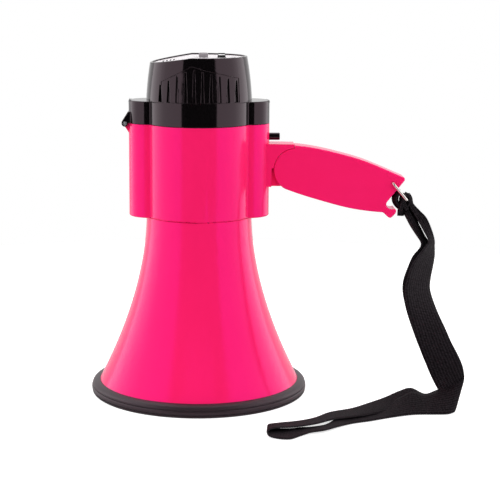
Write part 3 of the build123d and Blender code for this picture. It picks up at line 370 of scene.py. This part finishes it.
def lathe(name, profile, material, steps=256, crease=24.0):
    """Closed profile of (radius, height) in millimetres turned about the upright axis."""
    count = len(profile)
    points = []
    for i in range(steps):
        turn = 2 * math.pi * i / steps
        points += [(r * MM * math.cos(turn), r * MM * math.sin(turn), z * MM) for r, z in profile]
    faces = []
    for i in range(steps):
        for j in range(count):
            a, b = i * count + j, i * count + (j + 1) % count
            c, d = (i + 1) % steps * count + (j + 1) % count, (i + 1) % steps * count + j
            faces.append((a, d, c, b))
    mesh = bpy.data.meshes.new(name)
    mesh.from_pydata(points, [], faces)
    work = bmesh.new()
    work.from_mesh(mesh)
    bmesh.ops.recalc_face_normals(work, faces=work.faces)
    for face in work.faces:
        face.smooth = True
    for edge in work.edges:
        edge.smooth = edge.calc_face_angle(0.0) < math.radians(crease)
    work.to_mesh(mesh)
    work.free()
    return link(name, mesh, material)


RIM_PROFILE = [
    (73.6, 0.0), (77.8, 0.0), (78.6, 0.12), (79.2, 0.5), (79.6, 1.1), (79.62, 1.7), (79.05, 1.95), (79.05, 2.2),
    (79.6, 2.45), (79.95, 3.0), (80.0, 3.9), (79.95, 4.7), (79.7, 5.2), (79.1, 5.45), (79.1, 5.75), (79.45, 6.0),
    (79.3, 6.8), (78.6, 7.7), (77.6, 8.4), (76.3, 8.95), (75.0, 9.3), (74.0, 9.4), (73.7, 9.3), (73.6, 9.1),
    (75.0, 6.2), (73.0, 5.8),
]
rim = lathe("rim_bumper", RIM_PROFILE, MATERIALS["rim_rubber"])
stand_in(rim, "rim_trim")

# ---- woven strap ------------------------------------------------------------------------

STRAP_THICK = 1.3        # one layer of webbing, millimetres
STRAP_COLUMNS = 10       # spaces across the webbing
STRAP_ROW = 0.6          # spacing of the rows along it
WEB_RIB = 1.8            # pitch of the ribs across the webbing
WEB_RIB_H = 0.12
STRAP_WIDE = 25.0
FLOOR_CLEAR = 0.05       # the webbing lies on the floor, never in it

# Each station: near edge, far edge and depth of the gathers, in millimetres.
UPPER_FRONT = [
    ((151.5, -1.5, 147.2), (151.8, 4.5, 147.4), 1.0), ((154.8, -2.5, 145.0), (155.6, 3.8, 144.8), 1.2),
    ((154.6, -4.0, 139.4), (157.0, 2.6, 139.1), 1.6), ((157.7, -8.0, 134.1), (161.6, -1.0, 134.1), 1.8),
    ((160.5, -12.0, 129.5), (166.5, -4.0, 129.7), 1.6), ((164.0, -17.0, 123.0), (170.2, -5.6, 122.1), 1.2),
    ((166.9, -21.0, 116.3), (173.2, -4.3, 114.0), 0.7), ((163.2, -25.0, 111.9), (173.8, -6.0, 109.1), 0.3),
    ((157.5, -30.0, 106.2), (173.3, -10.8, 103.2), 0.0), ((152.5, -36.0, 100.0), (171.0, -19.4, 97.4), 0.0),
    ((148.7, -44.0, 92.1), (168.0, -28.4, 89.6), 0.0), ((146.8, -49.0, 85.2), (166.9, -34.4, 83.4), 0.0),
]
UPPER_BACK = [
    ((150.8, -2.0, 146.9), (151.2, 4.0, 146.9), 1.0), ((148.9, -2.5, 143.5), (149.6, 3.8, 142.9), 1.2),
    ((150.2, -3.0, 138.5), (153.3, 3.2, 137.5), 1.6), ((153.3, -8.0, 131.8), (158.6, -2.1, 130.5), 1.8),
    ((155.8, -12.0, 126.6), (162.1, -4.5, 124.5), 1.6), ((159.1, -16.0, 120.6), (166.7, -4.8, 117.1), 1.0),
    ((161.4, -19.0, 115.9), (170.7, -4.4, 111.0), 0.4), ((161.0, -22.0, 112.0), (173.0, -4.4, 106.5), 0.0),
    ((155.0, -27.0, 106.3), (172.7, -9.0, 101.4), 0.0), ((150.2, -34.0, 98.6), (170.1, -17.0, 95.6), 0.0),
    ((146.6, -40.5, 91.2), (167.2, -25.2, 88.3), 0.0), ((145.6, -45.6, 84.3), (166.0, -30.5, 81.6), 0.0),
]
HANGING = [
    ((147.5, -53.0, 77.3), (168.5, -39.5, 76.4), 0.0), ((149.6, -55.0, 68.3), (171.5, -45.2, 68.2), 0.0),
    ((153.3, -54.0, 57.0), (176.5, -47.9, 57.7), 0.0), ((157.9, -51.0, 43.9), (180.5, -51.5, 48.7), 0.0),
    ((163.4, -48.0, 31.2), (185.9, -54.0, 37.4), 0.0), ((168.9, -48.0, 19.0), (188.9, -54.0, 30.4), 0.0),
    ((174.6, -54.0, 9.0), (190.6, -52.0, 25.4), 0.0), ((180.2, -60.5, 2.4), (191.0, -50.5, 23.6), 0.0),
]
BACK_RUN = [
    ((182.6, -63.0, 1.4), (190.6, -51.6, 22.6), 0.0), ((180.4, -67.4, 1.6), (185.8, -54.0, 18.2), 0.0),
    ((172.8, -68.7, 1.9), (178.6, -52.7, 15.2), 0.0), ((166.4, -65.7, 1.9), (171.8, -49.7, 12.1), 0.0),
    ((158.5, -61.6, 1.9), (163.9, -44.6, 7.8), 0.0), ((149.9, -60.7, 1.9), (153.7, -43.7, 11.9), 0.0),
    ((140.9, -64.2, 1.9), (145.0, -45.2, 10.1), 0.0), ((131.1, -70.8, 2.1), (134.0, -49.8, 6.7), 0.0),
    ((119.2, -79.1, 2.5), (121.9, -57.1, 4.8), 0.0), ((106.0, -86.0, 2.9), (108.9, -63.0, 2.6), 0.0),
]
FRONT_RUN = [
    ((182.2, -66.0, 0.9), (189.8, -54.6, 21.0), 0.0), ((178.0, -71.6, 0.9), (184.8, -56.5, 17.8), 0.0),
    ((172.8, -72.9, 0.9), (178.6, -54.2, 14.4), 0.0), ((166.4, -72.9, 0.9), (172.4, -52.2, 11.8), 0.0),
    ((157.9, -72.8, 0.9), (163.2, -49.8, 8.6), 0.0), ((149.9, -73.9, 0.9), (153.5, -51.1, 11.1), 0.0),
    ((140.9, -77.2, 0.9), (144.6, -53.4, 7.7), 0.0), ((131.1, -81.8, 0.9), (134.1, -57.1, 3.4), 0.0),
    ((119.2, -88.1, 0.9), (122.0, -63.7, 1.2), 0.0), ((106.0, -94.0, 0.9), (108.5, -69.7, 0.9), 0.0),
]
LOOP_END = [
    ((92.5, -91.5, 2.8), (93.0, -69.5, 1.8), 0.0), ((82.0, -101.5, 3.4), (82.0, -80.5, 1.4), 0.0),
    ((72.5, -107.5, 3.6), (74.0, -87.0, 1.6), 0.0), ((62.5, -112.0, 3.9), (65.5, -91.5, 1.8), 0.0),
    ((54.0, -115.0, 4.6), (58.0, -95.5, 2.4), 0.0), ((48.5, -118.5, 4.8), (51.0, -100.5, 3.2), 0.0),
    ((46.0, -121.5, 3.6), (47.6, -102.5, 3.2), 0.0), ((47.5, -124.5, 1.6), (48.2, -103.5, 1.8), 0.0),
    ((54.0, -127.5, 0.9), (53.5, -104.5, 0.9), 0.0), ((61.5, -128.0, 0.9), (62.0, -105.0, 0.9), 0.0),
    ((68.6, -121.5, 1.0), (70.0, -102.5, 0.9), 0.0), ((75.5, -116.5, 1.6), (78.5, -101.0, 0.9), 0.0),
    ((85.5, -113.5, 2.2), (88.0, -95.5, 0.9), 0.0), ((95.5, -103.5, 1.6), (97.0, -81.5, 0.9), 0.0),
]
LAYER_GAP = 1.9          # spacing of the two layers, millimetres
HITCH_WRAP = [
    ((148.6, -5.5, 149.6), (148.6, 4.5, 149.8), 1.2), ((145.2, -6.0, 147.9), (145.2, 5.0, 147.9), 1.4),
    ((144.3, -6.0, 143.8), (144.3, 5.0, 143.4), 1.5), ((146.4, -6.0, 139.6), (146.4, 5.0, 139.4), 1.5),
    ((150.4, -6.5, 137.8), (150.4, 4.5, 137.6), 1.6), ((154.2, -6.0, 139.8), (154.4, 5.0, 139.8), 1.5),
    ((155.2, -5.5, 144.0), (155.2, 5.0, 144.0), 1.4), ((153.4, -5.5, 147.8), (153.4, 4.5, 147.8), 1.2),
]
HITCH_CORE = [
    ((151.6, -6.5, 147.6), (152.6, 3.0, 147.6), 1.8), ((149.2, -7.0, 143.6), (151.6, 3.0, 143.6), 2.0),
    ((149.6, -7.0, 139.6), (152.6, 3.0, 139.6), 2.0), ((152.4, -6.5, 135.6), (155.0, 2.0, 135.4), 1.6),
]
HITCH_TAIL = [
    ((148.4, -7.0, 143.0), (151.4, 2.0, 143.0), 1.6), ((147.2, -7.5, 139.0), (151.4, 1.0, 138.8), 1.8),
    ((146.2, -8.0, 135.2), (150.6, -1.0, 134.6), 1.4), ((145.6, -8.0, 132.4), (149.6, -3.0, 131.4), 0.9),
]


def station_frames(stations):
    """Near edge, far edge and gathers of each station as vectors."""
    return [(Vector(near), Vector(far), gather) for near, far, gather in stations]


def second_layer(stations, side):
    """The same stations one layer thickness away, on the given side."""
    shifted = []
    for i, (near, far, gather) in enumerate(stations):
        before = stations[max(i - 1, 0)]
        after = stations[min(i + 1, len(stations) - 1)]
        along = (after[0] + after[1]) - (before[0] + before[1])
        normal = along.cross(far - near).normalized() * (side * LAYER_GAP)
        shifted.append((near + normal, far + normal, gather))
    return shifted


def blend_points(p0, p1, p2, p3, t):
    """Point on a smooth curve through p1 and p2."""
    return 0.5 * (2 * p1 + (p2 - p0) * t + (2 * p0 - 5 * p1 + 4 * p2 - p3) * t * t
                  + (3 * p1 - p0 - 3 * p2 + p3) * t * t * t)


def even_rows(stations):
    """Rows every STRAP_ROW along the webbing, each with its distance from the start."""
    rows = []
    distance = 0.0
    last = len(stations) - 1
    for i in range(last):
        four = [stations[min(max(i + k, 0), last)] for k in (-1, 0, 1, 2)]
        run = ((four[2][0] + four[2][1]) - (four[1][0] + four[1][1])).length / 2
        steps = max(3, round(run / STRAP_ROW))
        for k in range(steps):
            t = k / steps
            near, far, gather = [blend_points(*[s[part] for s in four], t) for part in range(3)]
            if rows:
                distance += ((near + far) / 2 - (rows[-1][0] + rows[-1][1]) / 2).length
            rows.append((near, far, max(gather, 0.0), distance))
    return rows


def band(rows, points, places, faces):
    """Add one closed band of webbing along its rows."""
    first = len(points)
    for i, (near, far, gather, distance) in enumerate(rows):
        before, after = rows[max(i - 1, 0)], rows[min(i + 1, len(rows) - 1)]
        along = (after[0] + after[1] - before[0] - before[1]).normalized()
        normal = along.cross(far - near).normalized()
        for side in (1, -1):
            columns = range(STRAP_COLUMNS + 1)
            for k in (columns if side == 1 else reversed(columns)):
                u = k / STRAP_COLUMNS
                edge = 1.0 - 0.55 * (abs(2 * u - 1) ** 12)
                pleat = gather * math.sin(u * 5 * math.pi)
                spot = near.lerp(far, u) + normal * (pleat + side * edge * STRAP_THICK / 2)
                spot.z = max(spot.z, FLOOR_CLEAR)
                points.append(spot * MM)
                places.append((u * STRAP_WIDE * MM, distance * MM))
    ring = 2 * (STRAP_COLUMNS + 1)
    for i in range(len(rows) - 1):
        for k in range(ring):
            a, b = first + i * ring + k, first + i * ring + (k + 1) % ring
            faces.append((a, b, b + ring, a + ring))
    faces.append(tuple(first + k for k in range(ring - 1, -1, -1)))
    faces.append(tuple(first + (len(rows) - 1) * ring + k for k in range(ring)))


def strap_mesh():
    """Both layers of the strap and its hitch, with length and width along the webbing as a UV map."""
    hanging = station_frames(HANGING)
    path = station_frames(UPPER_FRONT) + hanging + station_frames(BACK_RUN + LOOP_END + FRONT_RUN[::-1])
    path += second_layer(hanging, -1)[::-1] + station_frames(UPPER_BACK)[::-1]
    points, places, faces = [], [], []
    total = 0.0
    hitch = [station_frames(stations) for stations in (HITCH_WRAP, HITCH_CORE, HITCH_TAIL)]
    for stations in [path] + hitch:
        rows = even_rows(stations)
        band(rows, points, places, faces)
        total += rows[-1][3]
    mesh = bpy.data.meshes.new("wrist_webbing")
    mesh.from_pydata(points, [], faces)
    layer = mesh.uv_layers.new(name="weave")
    for loop in mesh.loops:
        layer.data[loop.index].uv = places[loop.vertex_index]
    along_strap = mesh.attributes.new("along", "FLOAT", "POINT")
    for i, (_, distance) in enumerate(places):
        along_strap.data[i].value = distance
    work = bmesh.new()
    work.from_mesh(mesh)
    bmesh.ops.recalc_face_normals(work, faces=work.faces)
    for face in work.faces:
        face.smooth = True
    work.to_mesh(mesh)
    work.free()
    return mesh, total


def open_tree(name, inputs):
    """Geometry tree with a geometry input and the named inputs; gives the tree and its input sockets."""
    tree = bpy.data.node_groups.new(name, "GeometryNodeTree")
    tree.interface.new_socket("Geometry", in_out="INPUT", socket_type="NodeSocketGeometry")
    for socket, kind in inputs.items():
        tree.interface.new_socket(socket, in_out="INPUT", socket_type=kind)
    tree.interface.new_socket("Geometry", in_out="OUTPUT", socket_type="NodeSocketGeometry")
    return tree, node(tree, "NodeGroupInput").outputs


def close_tree(tree, geometry, material):
    """Realise, give the material and send the geometry out."""
    real = node(tree, "GeometryNodeRealizeInstances", {"Geometry": geometry})
    done = node(tree, "GeometryNodeSetMaterial", {"Geometry": real.outputs[0], "Material": material})
    node(tree, "NodeGroupOutput", {"Geometry": done.outputs[0]})


def rib_tree(material):
    """Geometry nodes that raise ribs across a band from its distance along."""
    tree, given = open_tree("webbing_ribs", {"Rib pitch": "NodeSocketFloat", "Rib height": "NodeSocketFloat"})
    along = node(tree, "GeometryNodeInputNamedAttribute", {"Name": "along"}, data_type="FLOAT")
    count = node(tree, "ShaderNodeMath", {0: along.outputs["Attribute"], 1: given["Rib pitch"]}, operation="DIVIDE")
    phase = node(tree, "ShaderNodeMath", {0: count.outputs[0], 1: 2 * math.pi}, operation="MULTIPLY")
    wave = node(tree, "ShaderNodeMath", {0: phase.outputs[0]}, operation="SINE")
    rise = node(tree, "ShaderNodeMath", {0: wave.outputs[0], 1: given["Rib height"]}, operation="MULTIPLY")
    normal = node(tree, "GeometryNodeInputNormal").outputs["Normal"]
    push = node(tree, "ShaderNodeVectorMath", {0: normal, "Scale": rise.outputs[0]}, operation="SCALE")
    moved = node(tree, "GeometryNodeSetPosition", {"Geometry": given["Geometry"], "Offset": push.outputs[0]})
    close_tree(tree, moved.outputs[0], material)
    return tree


def grown(name, base, tree, values, material):
    """Plain mesh from a base mesh and a geometry tree with the given named inputs."""
    seed = link(name + "_seed", base, material)
    modifier = seed.modifiers.new("grow", "NODES")
    modifier.node_group = tree
    for item in tree.interface.items_tree:
        if item.item_type == "SOCKET" and item.in_out == "INPUT" and item.name in values:
            modifier[item.identifier] = values[item.name]
    bpy.context.view_layer.update()
    depsgraph = bpy.context.evaluated_depsgraph_get()
    mesh = bpy.data.meshes.new_from_object(seed.evaluated_get(depsgraph))
    seed.modifiers.clear()
    bpy.data.objects.remove(seed)
    mesh.name = name
    return link(name, mesh, material)


def make_strap():
    """Looped wrist strap with ribbed webbing."""
    base, length = strap_mesh()
    nylon = MATERIALS["nylon_webbing"]
    ribs = {"Rib pitch": WEB_RIB * MM, "Rib height": WEB_RIB_H * MM / 2}
    strap = grown("wrist_webbing", base, rib_tree(nylon), ribs, nylon)
    stand_in(strap, "wrist_strap")
    return strap, length * MM


strap, strap_length = make_strap()

# ---- controls ---------------------------------------------------------------------------

PANEL_TOP = 247.4        # level part of the panel, millimetres
PANEL_BEND = -5.5        # the panel falls to the hinge side from here
PANEL_FALL = 0.156
WHEEL_MIDDLE = (16.1, -1.5, 243.4)
WHEEL_RADIUS = 7.0
WHEEL_WIDE = 5.6
WHEEL_RIBS = 40
WHEEL_RIB_R = 0.28
WHEEL_HIGHLIGHT_TURN = 32.0   # degrees the painted highlight stands to the front of the wheel's top
MIC_MIDDLE = -22.0
MIC_PITCH = 2.6
# Black discs on the panel are the painted shade of the sound holes.
HOLE_SHADE_R = 0.6
HOLE_SHADE_H = 0.24
# Size of the white slab that is the painted highlight on the wheel
WHEEL_HIGHLIGHT_SLAB = (4.8, 0.9, 0.2)
PANEL_MARKS = [(-2.4, -5.0, 3.2), (-2.4, 0.0, 3.2), (24.4, -4.0, 3.6), (24.4, 1.0, 2.4)]  # place and width


def drum_mesh(name, radius, width, edge=0.4, steps=96):
    """Closed drum along X about its own middle, with softened edges."""
    half = width / 2
    rings = [(-half, radius - edge), (edge - half, radius), (half - edge, radius), (half, radius - edge)]
    points, faces = [], []
    for x, r in rings:
        for k in range(steps):
            a = 2 * math.pi * k / steps
            points.append((x * MM, r * math.cos(a) * MM, r * math.sin(a) * MM))
    for i in range(len(rings) - 1):
        for k in range(steps):
            a, b = i * steps + k, i * steps + (k + 1) % steps
            faces.append((a, a + steps, b + steps, b))
    faces.append(tuple(range(steps)))
    faces.append(tuple(3 * steps + k for k in range(steps - 1, -1, -1)))
    mesh = bpy.data.meshes.new(name)
    mesh.from_pydata(points, [], faces)
    work = bmesh.new()
    work.from_mesh(mesh)
    bmesh.ops.recalc_face_normals(work, faces=work.faces)
    work.to_mesh(mesh)
    work.free()
    return mesh


def wheel_tree(material):
    """Ribs set round a drum, then drum and ribs carried to the wheel's place."""
    tree, given = open_tree("thumb_wheel_ribs", {
        "Rib count": "NodeSocketInt", "Rib radius": "NodeSocketFloat", "Rim radius": "NodeSocketFloat",
        "Rib length": "NodeSocketFloat", "Turn": "NodeSocketVector", "Middle": "NodeSocketVector"})
    spots = node(tree, "GeometryNodeMeshCircle", {"Vertices": given["Rib count"], "Radius": given["Rim radius"]})
    rib = node(tree, "GeometryNodeMeshCylinder", {"Vertices": 8, "Radius": given["Rib radius"],
                                                  "Depth": given["Rib length"]})
    ribs = node(tree, "GeometryNodeInstanceOnPoints", {"Points": spots.outputs[0],
                                                       "Instance": rib.outputs["Mesh"]})
    laid = node(tree, "GeometryNodeTransform", {"Geometry": ribs.outputs[0], "Rotation": given["Turn"]})
    both = node(tree, "GeometryNodeJoinGeometry", {"Geometry": laid.outputs[0]})
    tree.links.new(given["Geometry"], both.inputs["Geometry"])
    moved = node(tree, "GeometryNodeTransform", {"Geometry": both.outputs[0], "Translation": given["Middle"]})
    close_tree(tree, moved.outputs[0], material)
    return tree


def hole_shade_tree(material):
    """Grid of short black discs laid on the sloping part of the panel: painted shade standing for the dark inside
    the sound holes.
    """
    tree, given = open_tree("sound_hole_painted_shade", {
        "Columns": "NodeSocketInt", "Rows": "NodeSocketInt", "Width": "NodeSocketFloat", "Depth": "NodeSocketFloat",
        "Shade disc radius": "NodeSocketFloat", "Shade disc height": "NodeSocketFloat", "Tilt": "NodeSocketVector",
        "Middle": "NodeSocketVector"})
    spots = node(tree, "GeometryNodeMeshGrid", {"Size X": given["Width"], "Size Y": given["Depth"],
                                                "Vertices X": given["Columns"], "Vertices Y": given["Rows"]})
    shade_disc = node(tree, "GeometryNodeMeshCylinder", {"Vertices": 20, "Radius": given["Shade disc radius"],
                                                     "Depth": given["Shade disc height"]})
    shade_discs = node(tree, "GeometryNodeInstanceOnPoints", {"Points": spots.outputs[0],
                                                          "Instance": shade_disc.outputs["Mesh"]})
    laid = node(tree, "GeometryNodeTransform", {"Geometry": shade_discs.outputs[0], "Rotation": given["Tilt"],
                                                "Translation": given["Middle"]})
    close_tree(tree, laid.outputs[0], material)
    return tree


def slab_mesh(name, middle, size, turn_x=0.0):
    """Closed flat block, turned about X, in millimetres."""
    work = bmesh.new()
    bmesh.ops.create_cube(work, size=1.0)
    bmesh.ops.scale(work, vec=Vector(size) * MM, verts=work.verts)
    bmesh.ops.rotate(work, matrix=Matrix.Rotation(math.radians(turn_x), 3, "X"), verts=work.verts)
    bmesh.ops.translate(work, vec=Vector(middle) * MM, verts=work.verts)
    mesh = bpy.data.meshes.new(name)
    work.to_mesh(mesh)
    work.free()
    return mesh


def carried_by(piece, cad_name):
    """A small extra piece that moves with a CAD node."""
    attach(piece, BODY_OF[cad_name])


def make_controls():
    """Ribbed thumb wheel with a painted highlight line, black discs as painted shade in the sound holes, and the
    printed marks.
    """
    black = MATERIALS["wheel_abs"]
    drum = drum_mesh("thumb_wheel_drum", WHEEL_RADIUS - WHEEL_RIB_R, WHEEL_WIDE)
    wheel = grown("thumb_wheel", drum, wheel_tree(black), {
        "Rib count": WHEEL_RIBS, "Rib radius": WHEEL_RIB_R * MM, "Rim radius": (WHEEL_RADIUS - WHEEL_RIB_R) * MM,
        "Rib length": (WHEEL_WIDE - 0.8) * MM, "Turn": (0.0, math.pi / 2, 0.0),
        "Middle": tuple(v * MM for v in WHEEL_MIDDLE)}, black)
    stand_in(wheel, "volume_wheel")
    # Painted highlight: this white slab stands for the line of light along the wheel.
    turn = math.radians(WHEEL_HIGHLIGHT_TURN)
    x, y, z = WHEEL_MIDDLE
    spot = (x, y - WHEEL_RADIUS * math.sin(turn), z + WHEEL_RADIUS * math.cos(turn))
    ink = slab_mesh("thumb_wheel_painted_highlight", spot, WHEEL_HIGHLIGHT_SLAB, WHEEL_HIGHLIGHT_TURN)
    carried_by(link("thumb_wheel_painted_highlight", ink, WHEEL_HIGHLIGHT_PAINT), "volume_wheel")
    height = PANEL_TOP - PANEL_FALL * (PANEL_BEND - MIC_MIDDLE)
    # Painted shade: black discs laid on the panel stand for the dark inside the sound holes.
    shade_discs = grown("sound_hole_shade_discs", bpy.data.meshes.new("shade_disc_seed"), hole_shade_tree(black), {
        "Columns": 4, "Rows": 5, "Width": 3 * MIC_PITCH * MM, "Depth": 4 * MIC_PITCH * MM,
        "Shade disc radius": HOLE_SHADE_R * MM, "Shade disc height": HOLE_SHADE_H * MM,
        "Tilt": (0.0, -math.atan(PANEL_FALL), 0.0), "Middle": (MIC_MIDDLE * MM, 0.0, height * MM)}, black)
    carried_by(shade_discs, "control_panel")
    for k, (mark_x, mark_y, wide) in enumerate(PANEL_MARKS):
        name = "panel_mark_%d" % (k + 1)
        ink = slab_mesh(name, (mark_x, mark_y, PANEL_TOP + 0.02), (wide, 1.1, 0.08))
        carried_by(link(name, ink, PANEL_INK), "control_panel")


make_controls()

# ---- finish of every shape carried over from the CAD ------------------------------------

for row in frame["record"]["subparts"]:
    cad = frame["nodes"][row["node"]]
    cad.data.materials.clear()
    cad.data.materials.append(MATERIALS[row["material_slot"]])
